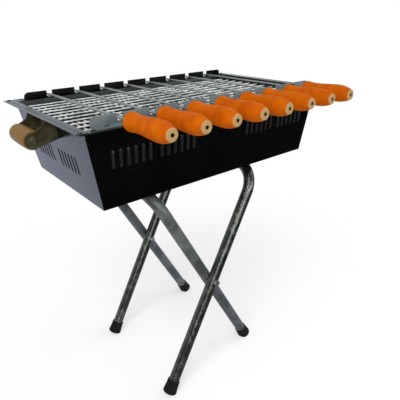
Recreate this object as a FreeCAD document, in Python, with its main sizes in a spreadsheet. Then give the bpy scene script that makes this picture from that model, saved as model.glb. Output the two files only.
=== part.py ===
import FreeCAD, Part
import math
import os
import Sketcher

# Charcoal grill with a row of hand-turned skewers, on a stand of two crossed tube frames.
# The firebox is a hopper of sheet metal with flanges round its mouth. Notched rails on the long
# flanges carry the skewers over a welded wire grille, and a slotted grate holds the charcoal.
# Each leg frame is one bent tube: a crossbar under the firebox and two legs. The right crossbar
# turns in clips, the left one slides out of open hooks, and bolts join the frames near half way.
#
# Frame: millimetres, +X along the front to the right, +Y to the back, +Z up, with the origin on
# the floor under the middle of the whole object. The sketches are drawn about the middle of the
# firebox, and every sub-part's placement carries it by depth_shift along Y.

os.makedirs("parts", exist_ok=True)
doc = FreeCAD.newDocument("skewer_grill")
sheet = doc.addObject("Spreadsheet::Sheet", "dims")
sheet.Label = "driving_dimensions"
sub_parts = []
dimensions = []


# Sizes that stay bound to the sheet

class Size:
    """A number together with the sheet expression that it comes from."""

    def __init__(self, text, number):
        self.text = text
        self.number = number

    def __add__(self, other):
        return joined(self, "+", other, self.number + as_size(other).number)

    def __radd__(self, other):
        return as_size(other) + self

    def __sub__(self, other):
        return joined(self, "-", other, self.number - as_size(other).number)

    def __rsub__(self, other):
        return as_size(other) - self

    def __mul__(self, other):
        return joined(self, "*", other, self.number * as_size(other).number)

    def __rmul__(self, other):
        return as_size(other) * self

    def __truediv__(self, other):
        return joined(self, "/", other, self.number / as_size(other).number)

    def __neg__(self):
        return self * -1


def as_size(value):
    """Give a plain number the same form as a sheet size."""
    if isinstance(value, Size):
        return value
    return Size(f"({value:.9g})", float(value))


def joined(first, sign, second, number):
    """Join two sizes into one expression."""
    return Size(f"({first.text} {sign} {as_size(second).text})", number)


def sine(angle):
    return Size(f"sin({angle.text})", math.sin(math.radians(angle.number)))


def cosine(angle):
    return Size(f"cos({angle.text})", math.cos(math.radians(angle.number)))


def tangent(angle):
    return Size(f"tan({angle.text})", math.tan(math.radians(angle.number)))


def angle_of(slope):
    """The angle in degrees whose tangent is slope."""
    return Size(f"(atan({slope.text}) / 1deg)", math.degrees(math.atan(slope.number)))


def root(value):
    return Size(f"sqrt({value.text})", math.sqrt(value.number))


def dimension(name, number, note):
    """Write one driving dimension into the sheet and give it back as a size."""
    dimensions.append(name)
    row = len(dimensions)
    sheet.set(f"A{row}", name)
    sheet.set(f"B{row}", str(number))
    sheet.setAlias(f"B{row}", name)
    sheet.set(f"C{row}", note)
    return Size(f"dims.{name}", float(number))


# Driving dimensions of the firebox
floor_length = dimension("floor_length", 543.0, "outside length of the firebox at its floor")
floor_width = dimension("floor_width", 307.0, "outside width of the firebox at its floor")
mouth_length = dimension("mouth_length", 591.0, "outside length of the firebox under its flanges")
mouth_width = dimension("mouth_width", 334.6, "outside width of the firebox under its flanges")
box_depth = dimension("box_depth", 151.0, "height of the firebox from its floor to its flanges")
panel_gauge = dimension("panel_gauge", 1.2, "thickness of the firebox sheet")
end_flange = dimension("end_flange", 20.0, "width of the flanges on the end panels")
long_flange = dimension("long_flange", 21.7, "width of the flanges on the long panels")
flange_setback = dimension("flange_setback", 4.0, "how far one flange stays inside the other")
floor_lip = dimension("floor_lip", 14.0, "width of the inward lips that carry the floor")
seam_play = dimension("seam_play", 0.4, "gap between loose sheets and the walls beside them")

# Driving dimensions of the vents
louvre_length = dimension("louvre_length", 33.0, "height of a louvre on the long panels")
louvre_width = dimension("louvre_width", 6.6, "width of a louvre")
louvre_rise = dimension("louvre_rise", 3.0, "how far a louvre stands out")
louvre_pitch = dimension("louvre_pitch", 15.0, "spacing of the louvres in a group")
louvre_drop = dimension("louvre_drop", 42.5, "top of the louvres below the flanges")
louvre_first = dimension("louvre_first", 72.5, "innermost louvre from the middle")
louvre_group = dimension("louvre_group", 100.0, "spacing of the louvre groups")
slot_length = dimension("slot_length", 37.0, "height of a vent slot in the end panels")
slot_width = dimension("slot_width", 6.0, "width of a vent slot")
slot_pitch = dimension("slot_pitch", 15.0, "spacing of the vent slots in a group")
slot_group = dimension("slot_group", 116.0, "spacing of the two groups of vent slots")
slot_shift = dimension("slot_shift", 6.5, "middle of the vent slots from the middle of the panel")
slot_drop = dimension("slot_drop", 63.5, "top of the vent slots below the flanges")

# Driving dimensions of the skewers and of the rails that carry them
skewer_margin = dimension("skewer_margin", 55.0, "outermost skewers inside the rails' ends")
skewer_rise = dimension("skewer_rise", 8.0, "skewer axis above the flanges")
blade_width = dimension("blade_width", 10.0, "width of a skewer's flat blade")
blade_gauge = dimension("blade_gauge", 2.0, "thickness of the blade")
blade_point = dimension("blade_point", 14.0, "length of the blade's point")
blade_overhang = dimension("blade_overhang", 16.0, "blade beyond the back rail's bend")
tang_width = dimension("tang_width", 4.0, "width of the tang inside the handle")
notch_play = dimension("notch_play", 1.0, "room round the turning blade in its notch")
rail_margin = dimension("rail_margin", 16.5, "rails' ends inside the edge of the mouth")
rail_gauge = dimension("rail_gauge", 1.5, "thickness of the rails")
rail_height = dimension("rail_height", 17.2, "height of the rail's tabs above the flanges")
rail_inset = dimension("rail_inset", 7.6, "rail's bend inside the edge of the mouth")
rail_leg = dimension("rail_leg", 22.0, "width of the rail's flat leg")
rail_lean = dimension("rail_lean", 12.0, "inward lean of the tabs, in degrees")
rail_corner = dimension("rail_corner", 10.0, "rounding of the outermost tabs")
handle_length = dimension("handle_length", 114.0, "length of a skewer's wooden handle")
handle_radius = dimension("handle_radius", 17.3, "largest radius of the handle")
handle_waist = dimension("handle_waist", 16.8, "radius of the handle before its inner end")
handle_nose = dimension("handle_nose", 10.0, "radius of the bare end face")
handle_tail = dimension("handle_tail", 12.0, "radius of the inner end face")
nose_length = dimension("nose_length", 22.0, "length of the curved nose")
tail_length = dimension("tail_length", 5.5, "length of the rounded inner end")
nose_curve = dimension("nose_curve", 40.0, "radius of the nose's curve")
tail_curve = dimension("tail_curve", 6.5, "radius of the inner end's curve")
handle_gap = dimension("handle_gap", 3.0, "handle clear of the front flange")
hole_depth = dimension("hole_depth", 14.0, "open hole in the end of the handle")

# Driving dimensions of the grille, the grate and the ledges under them
rod_radius = dimension("rod_radius", 1.75, "radius of the grille's long rods")
rod_pitch = dimension("rod_pitch", 27.5, "spacing of the long rods")
wire_radius = dimension("wire_radius", 1.2, "radius of the grille's cross wires")
wire_pitch = dimension("wire_pitch", 12.5, "spacing of the cross wires")
rod_end = dimension("rod_end", 11.5, "least of a long rod beyond the last cross wire")
wire_end = dimension("wire_end", 5.0, "least of a cross wire beyond the last long rod")
rod_play = dimension("rod_play", 4.8, "long rods' ends clear of the end panels")
wire_play = dimension("wire_play", 7.4, "cross wires' ends clear of the long panels")
grille_drop = dimension("grille_drop", 15.7, "underside of the grille below the flanges")
grate_drop = dimension("grate_drop", 112.0, "underside of the charcoal grate below the flanges")
grate_gauge = dimension("grate_gauge", 1.5, "thickness of the charcoal grate")
grate_play = dimension("grate_play", 4.0, "gap round the charcoal grate")
grate_slot = dimension("grate_slot", 76.0, "length of a slot in the charcoal grate")
grate_gap = dimension("grate_gap", 8.0, "width of a slot in the charcoal grate")
grate_step = dimension("grate_step", 102.0, "spacing of the grate's slots along the box")
grate_row = dimension("grate_row", 22.0, "spacing of the grate's rows")
ledge_width = dimension("ledge_width", 14.0, "width of the ledges")
ledge_height = dimension("ledge_height", 12.0, "height of the ledges against the wall")

# Driving dimensions of the carry handles
grip_out = dimension("grip_out", 40.3, "grip's axis outside the mouth of the firebox")
grip_drop = dimension("grip_drop", 35.0, "grip's axis below the flanges")
grip_length = dimension("grip_length", 80.0, "length of the wooden grip")
grip_radius = dimension("grip_radius", 17.0, "radius of the grip at its ends")
grip_crown = dimension("grip_crown", 1.0, "how much thicker the grip is in the middle")
grip_bolt_radius = dimension("grip_bolt_radius", 3.0, "radius of the bolt through the grip")
grip_bolt_head = dimension("grip_bolt_head", 7.4, "radius of the bolt's round head")
grip_nut_flat = dimension("grip_nut_flat", 10.0, "width across the flats of the bolt's nut")
grip_nut_height = dimension("grip_nut_height", 5.0, "height of the bolt's nut")
wing_gauge = dimension("wing_gauge", 2.0, "thickness of the handle's bracket")
wing_radius = dimension("wing_radius", 15.2, "radius of the bracket's round ends")
wing_foot = dimension("wing_foot", 39.0, "lowest point of the bracket's foot below the flanges")
wing_head = dimension("wing_head", 2.0, "top of the bracket below the flanges")
wing_wrap = dimension("wing_wrap", 80.0, "how far the wing's round end reaches back, in degrees")
wing_shoulder = dimension("wing_shoulder", 8.0, "wing's shoulder above its round end")
bracket_rivet_row = dimension("bracket_rivet_row", 16.8, "spacing of the rivets up the bracket")
bracket_rivet_gap = dimension("bracket_rivet_gap", 48.0, "spacing of the rivets along the bracket")

# Driving dimensions of the stand
leg_length = dimension("leg_length", 590.0, "crossbar to floor along a leg")
leg_angle = dimension("leg_angle", 28.3, "lean of the open legs, in degrees")
tube_radius = dimension("tube_radius", 13.0, "outside radius of the stand's tubes")
tube_wall = dimension("tube_wall", 1.2, "wall of the stand's tubes")
bend_radius = dimension("bend_radius", 60.0, "radius of the bends between crossbar and legs")
frame_width = dimension("frame_width", 278.0, "spacing of the two legs of one frame")
pivot_reach = dimension("pivot_reach", 286.5, "crossbar to the pivot along a leg")
stand_offset = dimension("stand_offset", -18.0, "pivots from the middle of the box")
bar_gap = dimension("bar_gap", 1.5, "crossbars clear of the firebox")
washer_gauge = dimension("washer_gauge", 1.2, "thickness of the washers between the frames")
washer_radius = dimension("washer_radius", 9.0, "radius of the washers between the frames")
turning_play = dimension("turning_play", 0.3, "gap between faces that turn past each other")
pivot_radius = dimension("pivot_radius", 4.0, "radius of the pivot bolts")
pivot_fit = dimension("pivot_fit", 0.05, "radial clearance of a bolt in its hole")
clip_gauge = dimension("clip_gauge", 2.0, "thickness of the clips and hooks")
clip_width = dimension("clip_width", 24.0, "width of the clips and hooks")
clip_ear = dimension("clip_ear", 18.0, "length of the clips' ears")
clip_margin = dimension("clip_margin", 4.0, "crossbar's straight run beyond its clips")
clip_rivet_reach = dimension("clip_rivet_reach", 10.0, "rivets outside the clips' and hooks' straps")
hook_lip = dimension("hook_lip", 5.0, "length of the hook's lip past the lowest point of the tube")
foot_height = dimension("foot_height", 36.0, "length of a rubber foot up the tube")
foot_top = dimension("foot_top", 15.1, "radius of a foot at its top")
foot_sole = dimension("foot_sole", 17.5, "radius of a foot at its sole")
foot_lift = dimension("foot_lift", 4.0, "middle of a foot's square sole above the floor, along the leg")
foot_cushion = dimension("foot_cushion", 12.0, "rubber between the tube's end and the floor")

# Driving dimensions of the fasteners
rivet_radius = dimension("rivet_radius", 2.0, "radius of a rivet's shank")
rivet_head = dimension("rivet_head", 4.2, "radius of a rivet's head")
rivet_dome = dimension("rivet_dome", 1.6, "height of a rivet's head")
tail_radius = dimension("tail_radius", 3.2, "radius of a rivet's closed tail")
tail_height = dimension("tail_height", 0.8, "height of a rivet's closed tail")
bolt_flat = dimension("bolt_flat", 13.0, "width across the flats of the pivot bolts and nuts")
bolt_head = dimension("bolt_head", 5.3, "height of the pivot bolts' heads")
nut_height = dimension("nut_height", 6.5, "height of the nuts")
bolt_tail = dimension("bolt_tail", 2.0, "bolt beyond its nut")
doc.recompute()

# Tapers of pressed and headed shapes, in degrees
HEAD_TAPER = -35.0
LOUVRE_TAPER = -38.0

# Counts
skewer_count = 8
louvre_count = 6
slot_count = 6
grate_columns = 5
grate_rows = 13

# Levels and reaches worked out from the driving dimensions
bar_level = leg_length * cosine(leg_angle)
floor_level = bar_level + tube_radius + bar_gap
deck_level = floor_level + panel_gauge
mouth_level = floor_level + box_depth
skewer_level = mouth_level + skewer_rise
grille_level = mouth_level - grille_drop
grate_level = mouth_level - grate_drop
end_slope = (mouth_length - floor_length) / 2 / box_depth
long_slope = (mouth_width - floor_width) / 2 / box_depth
end_tilt = angle_of(end_slope)
long_tilt = angle_of(long_slope)
leg_span = leg_length * sine(leg_angle)
pivot_span = pivot_reach * sine(leg_angle)
pivot_level = bar_level - pivot_reach * cosine(leg_angle)
hinge_at = stand_offset + pivot_span
hook_at = stand_offset - pivot_span
frame_shift = (tube_radius * 2 + washer_gauge + turning_play) / 2
front_edge = mouth_width / 2 + long_flange
handle_back = front_edge + handle_gap
handle_end = handle_back + handle_length
depth_shift = (handle_end - front_edge) / 2
rail_bend = mouth_width / 2 - rail_inset
rivet_line = rail_bend + rail_leg / 2
clip_bore = tube_radius + turning_play
clip_reach = frame_width / 2 - bend_radius - clip_margin - clip_width / 2
clip_rivet = clip_bore + clip_gauge + clip_rivet_reach
pivot_hole = pivot_radius + pivot_fit
grip_half = grip_length / 2
rail_length = mouth_length - rail_margin * 2
skewer_pitch = (rail_length - skewer_margin * 2) / (skewer_count - 1)
SKEWER_ROW = [skewer_pitch * (place - (skewer_count - 1) / 2) for place in range(skewer_count)]


def end_reach(level):
    """Outside half length of the firebox at a level."""
    return floor_length / 2 + (level - floor_level) * end_slope


def long_reach(level):
    """Outside half width of the firebox at a level."""
    return floor_width / 2 + (level - floor_level) * long_slope


# Helpers that build bound features

def bind(thing, name, value):
    """Tie a property to its sheet expression."""
    thing.setExpression(name, as_size(value).text)


def bind_place(thing, spot, axis=(0, 1, 0), angle=0.0):
    """Set a placement from sizes and tie each of its numbers to the sheet."""
    spot = [as_size(value) for value in spot]
    turn = as_size(angle)
    move = FreeCAD.Vector(*[value.number for value in spot])
    thing.Placement = FreeCAD.Placement(move, FreeCAD.Rotation(FreeCAD.Vector(*axis), turn.number))
    for name, value in zip("xyz", spot):
        bind(thing, f"Placement.Base.{name}", value)
    if turn.number:
        bind(thing, "Placement.Rotation.Angle", turn)


def new_body(label, spot=(0, 0, 0), angle=0.0):
    """Start a sub-part; spot is measured from the middle of the firebox."""
    body = doc.addObject("PartDesign::Body", label)
    body.Label = label
    body.AllowCompound = True
    bind_place(body, (spot[0], depth_shift + spot[1], spot[2]), angle=angle)
    sub_parts.append(body)
    return body


def origin_part(body, role):
    """One of the planes or axes of the body's own origin."""
    return next(item for item in body.Origin.OriginFeatures if item.Role == role)


def sketch_on(body, role, away=0.0, along=(0.0, 0.0), tilt=0.0, lift=0.0):
    """Start a sketch on an origin plane: away along its normal, tilted about its own x axis,
    and then lifted along its own tilted normal."""
    sketch = body.newObject("Sketcher::SketchObject", f"{body.Name}_sketch")
    sketch.AttachmentSupport = [(origin_part(body, role), "")]
    sketch.MapMode = "FlatFace"
    turn, lift = as_size(tilt), as_size(lift)
    spot = [as_size(along[0]), along[1] - lift * sine(turn), away + lift * cosine(turn)]
    move = FreeCAD.Vector(*[value.number for value in spot])
    rotation = FreeCAD.Rotation(FreeCAD.Vector(1, 0, 0), turn.number)
    sketch.AttachmentOffset = FreeCAD.Placement(move, rotation)
    for name, value in zip("xyz", spot):
        bind(sketch, f"AttachmentOffset.Base.{name}", value)
    if turn.number:
        bind(sketch, "AttachmentOffset.Rotation.Angle", turn)
    return sketch


def constrain(sketch, kind, references, value):
    """Add one dimension to a sketch and tie it to the sheet."""
    value = as_size(value)
    index = sketch.addConstraint(Sketcher.Constraint(kind, *references, value.number))
    bind(sketch, f"Constraints[{index}]", value)


def circle(sketch, middle, radius):
    """Draw a circle about a point."""
    middle = [as_size(value) for value in middle]
    radius = as_size(radius)
    centre = FreeCAD.Vector(middle[0].number, middle[1].number, 0)
    ring = sketch.addGeometry(Part.Circle(centre, FreeCAD.Vector(0, 0, 1), radius.number))
    constrain(sketch, "DistanceX", (-1, 1, ring, 3), middle[0])
    constrain(sketch, "DistanceY", (-1, 1, ring, 3), middle[1])
    constrain(sketch, "Radius", (ring,), radius)


def add_side(sketch, start, end, round_side):
    """Add a straight side, or a round one of (radius, turn) where turn 1 runs anticlockwise.

    The result is the side with the numbers of its first and last points."""
    if round_side is None:
        return sketch.addGeometry(Part.LineSegment(start, end)), 1, 2
    radius, turn = round_side
    chord = end - start
    left = FreeCAD.Vector(-chord.y, chord.x, 0).normalize()
    reach = math.sqrt(max(radius.number ** 2 - chord.Length ** 2 / 4, 0.0))
    centre = (start + end) / 2 + left * (reach * turn)
    first, last = (start, end) if turn > 0 else (end, start)
    angles = [math.atan2(point.y - centre.y, point.x - centre.x) for point in (first, last)]
    ring = Part.Circle(centre, FreeCAD.Vector(0, 0, 1), radius.number)
    arc = sketch.addGeometry(Part.ArcOfCircle(ring, *angles))
    constrain(sketch, "Radius", (arc,), radius)
    return (arc, 1, 2) if turn > 0 else (arc, 2, 1)


def outline(sketch, corners, rounds=None, closed=True):
    """Draw sides through the corners; rounds maps a side's number to its (radius, turn)."""
    rounds = rounds or {}
    corners = [tuple(as_size(value) for value in corner) for corner in corners]
    points = [FreeCAD.Vector(corner[0].number, corner[1].number, 0) for corner in corners]
    count = len(points)
    last_side = count if closed else count - 1
    sides = []
    for side in range(last_side):
        start, end = points[side], points[(side + 1) % count]
        sides.append(add_side(sketch, start, end, rounds.get(side)))
    for side in range(last_side if closed else last_side - 1):
        this, after = sides[side], sides[(side + 1) % count]
        sketch.addConstraint(Sketcher.Constraint("Coincident", this[0], this[2], after[0], after[1]))
    for number, corner in enumerate(corners):
        geometry, point = (sides[number][0], sides[number][1]) if number < last_side else (
            sides[-1][0], sides[-1][2])
        constrain(sketch, "DistanceX", (-1, 1, geometry, point), corner[0])
        constrain(sketch, "DistanceY", (-1, 1, geometry, point), corner[1])


def rectangle(sketch, one, other):
    """Draw a rectangle, always the same way round, from any two opposite corners."""
    left, right = sorted((as_size(one[0]), as_size(other[0])), key=lambda size: size.number)
    low, high = sorted((as_size(one[1]), as_size(other[1])), key=lambda size: size.number)
    outline(sketch, [(left, low), (right, low), (right, high), (left, high)])


def slot(sketch, middle, length, width, lying=False):
    """Draw a slot with round ends about a point, standing unless it is lying."""
    ends, half = width / 2, length / 2
    shape = [(-ends, ends - half), (0.0, -half), (ends, ends - half),
             (ends, half - ends), (0.0, half), (-ends, half - ends)]
    if lying:
        shape = [(across, -along) for along, across in shape]
    corners = [(middle[0] + x, middle[1] + y) for x, y in shape]
    outline(sketch, corners, {side: (ends, 1) for side in (0, 1, 3, 4)})


def hexagon(sketch, middle, flat):
    """Draw a hexagon of a given width across its flats."""
    tip, half = flat / math.sqrt(3), flat / 2
    shape = [(tip, 0.0), (tip / 2, half), (-tip / 2, half), (-tip, 0.0), (-tip / 2, -half),
             (tip / 2, -half)]
    outline(sketch, [(middle[0] + x, middle[1] + y) for x, y in shape])


def feature(body, kind, sketch):
    """Add a feature on a sketch to a body."""
    item = body.newObject(f"PartDesign::{kind}", f"{body.Name}_{kind}")
    item.Profile = sketch
    return item


def pad(body, sketch, length, both=False, back=False, taper=0.0):
    """Pad a sketch along its normal, both ways from it, or backwards."""
    item = feature(body, "Pad", sketch)
    item.Midplane = both
    item.Reversed = back
    bind(item, "Length", length)
    item.TaperAngle = taper
    return item


def pocket(body, sketch, length=None, back=False, both=False):
    """Cut a sketch against its normal, or right through both ways when no length is given."""
    item = feature(body, "Pocket", sketch)
    if length is None:
        item.Type = "ThroughAll"
        item.Midplane = True
    else:
        item.Midplane = both
        item.Reversed = back
        bind(item, "Length", length)
    return item


def revolve(body, sketch, axis):
    """Turn a sketch a full turn about one of its own axes."""
    item = feature(body, "Revolution", sketch)
    item.ReferenceAxis = (sketch, [axis])
    item.Angle = 360.0
    return item


def row_of(body, role, count, pitch, originals=None):
    """Repeat features along an origin axis, alone or as a step of a grid."""
    pattern = body.newObject("PartDesign::LinearPattern", f"{body.Name}_row")
    pattern.Direction = (origin_part(body, role), [""])
    pattern.Occurrences = count
    bind(pattern, "Length", pitch * (count - 1))
    if originals:
        pattern.Originals = originals
        body.Tip = pattern
    return pattern


def mirror_of(body, role):
    """A mirror in an origin plane, as a step of a grid."""
    mirror = body.newObject("PartDesign::Mirrored", f"{body.Name}_mirror")
    mirror.MirrorPlane = (origin_part(body, role), [""])
    return mirror


def grid_of(body, originals, steps):
    """Repeat features by several steps, one after the other."""
    grid = body.newObject("PartDesign::MultiTransform", f"{body.Name}_grid")
    grid.Originals = originals
    grid.Transformations = steps
    body.Tip = grid
    return grid


def rivets(body, role, spots, grip, face, side=1, **place):
    """Rivets through sheets of thickness grip; side is 1 where the heads are up the normal.

    The sheets' outer face, under the heads, is lifted by face from the plane."""
    for start, length, radius, taper in ((-grip - tail_height, grip + tail_height, rivet_radius, 0.0),
                                         (-grip - tail_height, tail_height, tail_radius, 0.0),
                                         (0.0, rivet_dome, rivet_head, HEAD_TAPER)):
        sketch = sketch_on(body, role, lift=face + start * side, **place)
        for spot in spots:
            circle(sketch, spot, radius)
        pad(body, sketch, length, back=side < 0, taper=taper)


def holes(body, role, spots, radius, length=None, **place):
    """Drill the same hole at each spot, right through the body or a length about its plane."""
    sketch = sketch_on(body, role, **place)
    for spot in spots:
        circle(sketch, spot, radius)
    pocket(body, sketch, length, both=length is not None)


# Firebox

RAIL_RIVETS = [(skewer_pitch * place, rivet_line) for place in (-4, -2, 0, 2, 4)]
CORNER_SPOT = (mouth_length / 2 + end_flange / 2, mouth_width / 2 + long_flange / 2)
CLEAR_CUT = rivet_radius * 8


def floor_rivets():
    """Spots of the rivets that hold the clips and hooks under the floor."""
    spots = []
    for end in (-1, 1):
        hinge_across = clip_reach * end - frame_shift
        hook_across = clip_reach * end + frame_shift
        spots.append((hinge_at + clip_rivet, hinge_across))
        spots.append((hinge_at - clip_rivet, hinge_across))
        spots.append((hook_at - clip_rivet, hook_across - clip_width / 4))
        spots.append((hook_at - clip_rivet, hook_across + clip_width / 4))
    return spots


def mirrored_spots(spots, side):
    """The same spots on the front or back half."""
    return [(spot[0], spot[1] * side) for spot in spots]


def sloped_sheet(body, side, roles, foot, head, foot_end, head_end):
    """A sloping wall of sheet whose outer face runs from foot to head, with sloping ends.

    The first of the two planes holds the wall's section, the second one its outline."""
    section = sketch_on(body, roles[0])
    points = [(foot, floor_level), (head, mouth_level), (head - panel_gauge, mouth_level),
              (foot - panel_gauge, floor_level)]
    outline(section, [(across * side, level) for across, level in points])
    pad(body, section, head_end * 2, both=True)
    for end in (-1, 1):
        trim = sketch_on(body, roles[1])
        points = [(foot_end, floor_level), (head_end, mouth_level),
                  (head_end + end_flange, mouth_level), (head_end + end_flange, floor_level)]
        outline(trim, [(along * end, level) for along, level in points])
        pocket(body, trim)


def long_panel(label, side):
    """Front or back panel: sloping wall, top flange, floor lip and louvres."""
    body = new_body(label)
    sloped_sheet(body, side, ("YZ_Plane", "XZ_Plane"), floor_width / 2, mouth_width / 2,
                 floor_length / 2, mouth_length / 2)
    reach = mouth_length / 2 + end_flange - flange_setback
    flange = sketch_on(body, "XY_Plane", mouth_level - panel_gauge)
    rectangle(flange, (-reach, (mouth_width / 2 - panel_gauge) * side), (reach, front_edge * side))
    pad(body, flange, panel_gauge)
    reach = floor_length / 2 - panel_gauge - seam_play
    lip = sketch_on(body, "XY_Plane", floor_level)
    rectangle(lip, (-reach, (floor_width / 2 - floor_lip) * side), (reach, floor_width / 2 * side))
    pad(body, lip, panel_gauge)
    corners = [(CORNER_SPOT[0] * end, CORNER_SPOT[1]) for end in (-1, 1)]
    holes(body, "XY_Plane", mirrored_spots(RAIL_RIVETS + corners, side), rivet_radius)
    louvres(body, side)


def louvres(body, side):
    """Pressed louvres in groups: a raised hood, cut open along one side from the inside."""
    wall = {"along": (0.0, floor_level), "tilt": long_tilt * -side}
    height = box_depth / cosine(long_tilt) - louvre_drop - louvre_length / 2
    hood_sketch = sketch_on(body, "XZ_Plane", -(floor_width / 2) * side, **wall)
    slot(hood_sketch, (louvre_first, height), louvre_length, louvre_width)
    hood = pad(body, hood_sketch, louvre_rise, back=side > 0, taper=LOUVRE_TAPER)
    cut_sketch = sketch_on(body, "XZ_Plane", -(floor_width / 2 + louvre_rise / 2) * side, **wall)
    half = louvre_length / 2 - louvre_width / 2
    rectangle(cut_sketch, (louvre_first, height - half), (louvre_first + louvre_width / 2, height + half))
    cut = pocket(body, cut_sketch, louvre_rise / 2 + panel_gauge * 2, back=side > 0)
    grid_of(body, [hood, cut], [row_of(body, "X_Axis", louvre_count, louvre_pitch),
                                row_of(body, "X_Axis", 2, louvre_group),
                                mirror_of(body, "YZ_Plane")])


def end_panel(label, side):
    """Left or right panel: sloping wall between the long panels, top flange and vent slots."""
    body = new_body(label)
    sloped_sheet(body, side, ("XZ_Plane", "YZ_Plane"), floor_length / 2, mouth_length / 2,
                 floor_width / 2 - panel_gauge, mouth_width / 2 - panel_gauge)
    reach = front_edge - flange_setback
    flange = sketch_on(body, "XY_Plane", mouth_level)
    rectangle(flange, ((mouth_length / 2 - panel_gauge) * side, -reach),
              ((mouth_length / 2 + end_flange) * side, reach))
    pad(body, flange, panel_gauge)
    corners = [(CORNER_SPOT[0] * side, CORNER_SPOT[1] * half) for half in (-1, 1)]
    holes(body, "XY_Plane", corners, rivet_radius)
    holes(body, "YZ_Plane", BRACKET_RIVETS, rivet_radius, CLEAR_CUT, **end_wall(side))
    vent = sketch_on(body, "YZ_Plane")
    first = slot_shift * -side - (slot_group + slot_pitch * (slot_count - 1)) / 2
    slot(vent, (first, mouth_level - slot_drop - slot_length / 2), slot_length, slot_width)
    cut = pocket(body, vent)
    grid_of(body, [cut], [row_of(body, "Y_Axis", slot_count, slot_pitch),
                          row_of(body, "Y_Axis", 2, slot_group)])


def end_wall(side):
    """Where a sketch lies on the outer face of an end panel, its y axis up the slope."""
    return {"away": floor_length / 2 * side, "along": (0.0, floor_level), "tilt": end_tilt * side}


def floor_plate():
    """Flat sheet that lies on the lips of the long panels."""
    body = new_body("floor_plate")
    reach = (floor_length / 2 - panel_gauge - seam_play, floor_width / 2 - panel_gauge - seam_play)
    sketch = sketch_on(body, "XY_Plane", deck_level)
    rectangle(sketch, (-reach[0], -reach[1]), reach)
    pad(body, sketch, panel_gauge)
    holes(body, "XY_Plane", floor_rivets(), rivet_radius)


def skewer_rail(label, side):
    """Rail of bent sheet: a flat leg on the flange and leaning tabs with round-bottomed notches."""
    body = new_body(label)
    lean = tangent(rail_lean)
    across = rail_gauge / cosine(rail_lean)
    top = mouth_level + rail_height
    profile = sketch_on(body, "YZ_Plane")
    corners = [(rail_bend + rail_leg, mouth_level),
               (rail_bend + rail_leg, mouth_level + rail_gauge),
               (rail_bend, mouth_level + rail_gauge),
               (rail_bend - (rail_height - rail_gauge) * lean, top),
               (rail_bend - (rail_height - rail_gauge) * lean - across, top),
               (rail_bend + rail_gauge * lean - across, mouth_level)]
    outline(profile, [(corner[0] * side, corner[1]) for corner in corners])
    pad(body, profile, rail_length, both=True)
    holes(body, "XY_Plane", mirrored_spots(RAIL_RIVETS, side), rivet_radius)
    for end in (-1, 1):
        corner = sketch_on(body, "XZ_Plane")
        tip, inner = rail_length / 2, rail_length / 2 - rail_corner
        points = [(inner, top), (tip, top - rail_corner), (tip + rail_corner, top - rail_corner),
                  (tip + rail_corner, top + rail_corner), (inner, top + rail_corner)]
        outline(corner, [(x * end, z) for x, z in points], {0: (rail_corner, -end)})
        pocket(body, corner)
    notch = sketch_on(body, "XZ_Plane")
    half = blade_width / 2 + notch_play
    middle = SKEWER_ROW[0]
    outline(notch,
            [(middle - half, skewer_level), (middle, skewer_level - half),
             (middle + half, skewer_level), (middle + half, top + rail_gauge),
             (middle - half, top + rail_gauge)],
            {0: (half, 1), 1: (half, 1)})
    cut = pocket(body, notch)
    row_of(body, "X_Axis", skewer_count, skewer_pitch, [cut])


def ledge(label, role, side, level, reach, length):
    """Angle strip against a sloping wall; reach gives the wall's inner face at a level."""
    body = new_body(label)
    foot = level - ledge_height
    profile = sketch_on(body, role)
    corners = [(reach(level), level),
               (reach(level) - ledge_width, level),
               (reach(level) - ledge_width, level - panel_gauge),
               (reach(level - panel_gauge) - panel_gauge, level - panel_gauge),
               (reach(foot) - panel_gauge, foot),
               (reach(foot), foot)]
    outline(profile, [(corner[0] * side, corner[1]) for corner in corners])
    pad(body, profile, length, both=True)


def inner_length(level):
    return end_reach(level) - panel_gauge


def inner_width(level):
    return long_reach(level) - panel_gauge


def ledges():
    """Two ledges along the front and back for the grille, two across the ends for the grate."""
    run = (inner_length(grille_level - ledge_height) - seam_play) * 2
    across = (inner_width(grate_level - ledge_height) - seam_play) * 2
    ledge("front_grille_ledge", "YZ_Plane", -1, grille_level, inner_width, run)
    ledge("back_grille_ledge", "YZ_Plane", 1, grille_level, inner_width, run)
    ledge("left_grate_ledge", "XZ_Plane", -1, grate_level, inner_length, across)
    ledge("right_grate_ledge", "XZ_Plane", 1, grate_level, inner_length, across)


def grille():
    """Long rods lying on cross wires, which rest on the ledges; as many of each as find room."""
    wires = new_body("grille_cross_wires")
    middle = grille_level + wire_radius
    rod_length = (inner_length(grille_level) - rod_play) * 2
    wire_length = (inner_width(grille_level) - wire_play) * 2
    wire_count = int((rod_length - rod_end * 2).number / wire_pitch.number) + 1
    rod_count = int((wire_length - wire_end * 2).number / rod_pitch.number) + 1
    span = wire_pitch * (wire_count - 1)
    depth = rod_pitch * (rod_count - 1)
    sketch = sketch_on(wires, "XZ_Plane")
    circle(sketch, (-span / 2, middle), wire_radius)
    wire = pad(wires, sketch, wire_length, both=True)
    row_of(wires, "X_Axis", wire_count, wire_pitch, [wire])
    rods = new_body("grille_long_rods")
    sketch = sketch_on(rods, "YZ_Plane")
    circle(sketch, (-depth / 2, middle + wire_radius + rod_radius), rod_radius)
    rod = pad(rods, sketch, rod_length, both=True)
    row_of(rods, "Y_Axis", rod_count, rod_pitch, [rod])


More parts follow.
